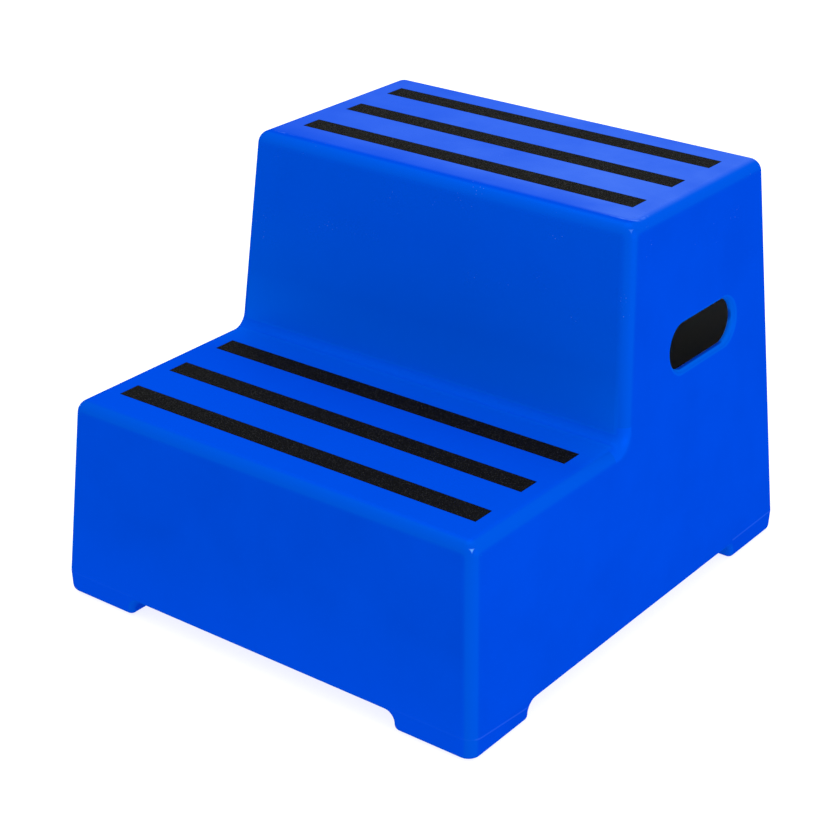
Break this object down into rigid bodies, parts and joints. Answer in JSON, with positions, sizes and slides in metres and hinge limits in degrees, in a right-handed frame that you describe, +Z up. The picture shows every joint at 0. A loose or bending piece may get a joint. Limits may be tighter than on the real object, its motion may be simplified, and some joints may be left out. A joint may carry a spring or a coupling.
{
  "type": "mounting block",
  "caption": "Two-tread moulded plastic mounting block: hollow drafted shell on corner feet, black grip strips on both treads, slotted hand-holds through the side walls.",
  "frame": {"origin": "on the floor, under the middle of the block's outline", "axes": "+Z up; +Y from the lower tread towards the back wall, so the front wall faces -Y; +X to the right when facing the front wall"},
  "size_m": [0.5156, 0.5688, 0.4303],
  "materials": {
    "blue_polyethylene": "satin blue moulded polyethylene",
    "black_grip_tape": "black anti-slip tape with mineral grit",
    "black_rubber": "matt black rubber",
    "zinc_steel": "zinc-plated steel",
    "brass": "plain brass"
  },
  "bodies": {
    "root": {"moulded_body": "blue_polyethylene", "grip_strip_upper_front": "black_grip_tape", "grip_strip_upper_middle": "black_grip_tape", "grip_strip_upper_back": "black_grip_tape", "grip_strip_lower_front": "black_grip_tape", "grip_strip_lower_middle": "black_grip_tape", "grip_strip_lower_back": "black_grip_tape", "rubber_foot_front_left": "black_rubber", "foot_washer_front_left": "zinc_steel", "foot_screw_front_left": "zinc_steel", "threaded_insert_front_left": "brass", "rubber_foot_front_right": "black_rubber", "foot_washer_front_right": "zinc_steel", "foot_screw_front_right": "zinc_steel", "threaded_insert_front_right": "brass", "rubber_foot_back_left": "black_rubber", "foot_washer_back_left": "zinc_steel", "foot_screw_back_left": "zinc_steel", "threaded_insert_back_left": "brass", "rubber_foot_back_right": "black_rubber", "foot_washer_back_right": "zinc_steel", "foot_screw_back_right": "zinc_steel", "threaded_insert_back_right": "brass"}
  },
  "joints": []
}
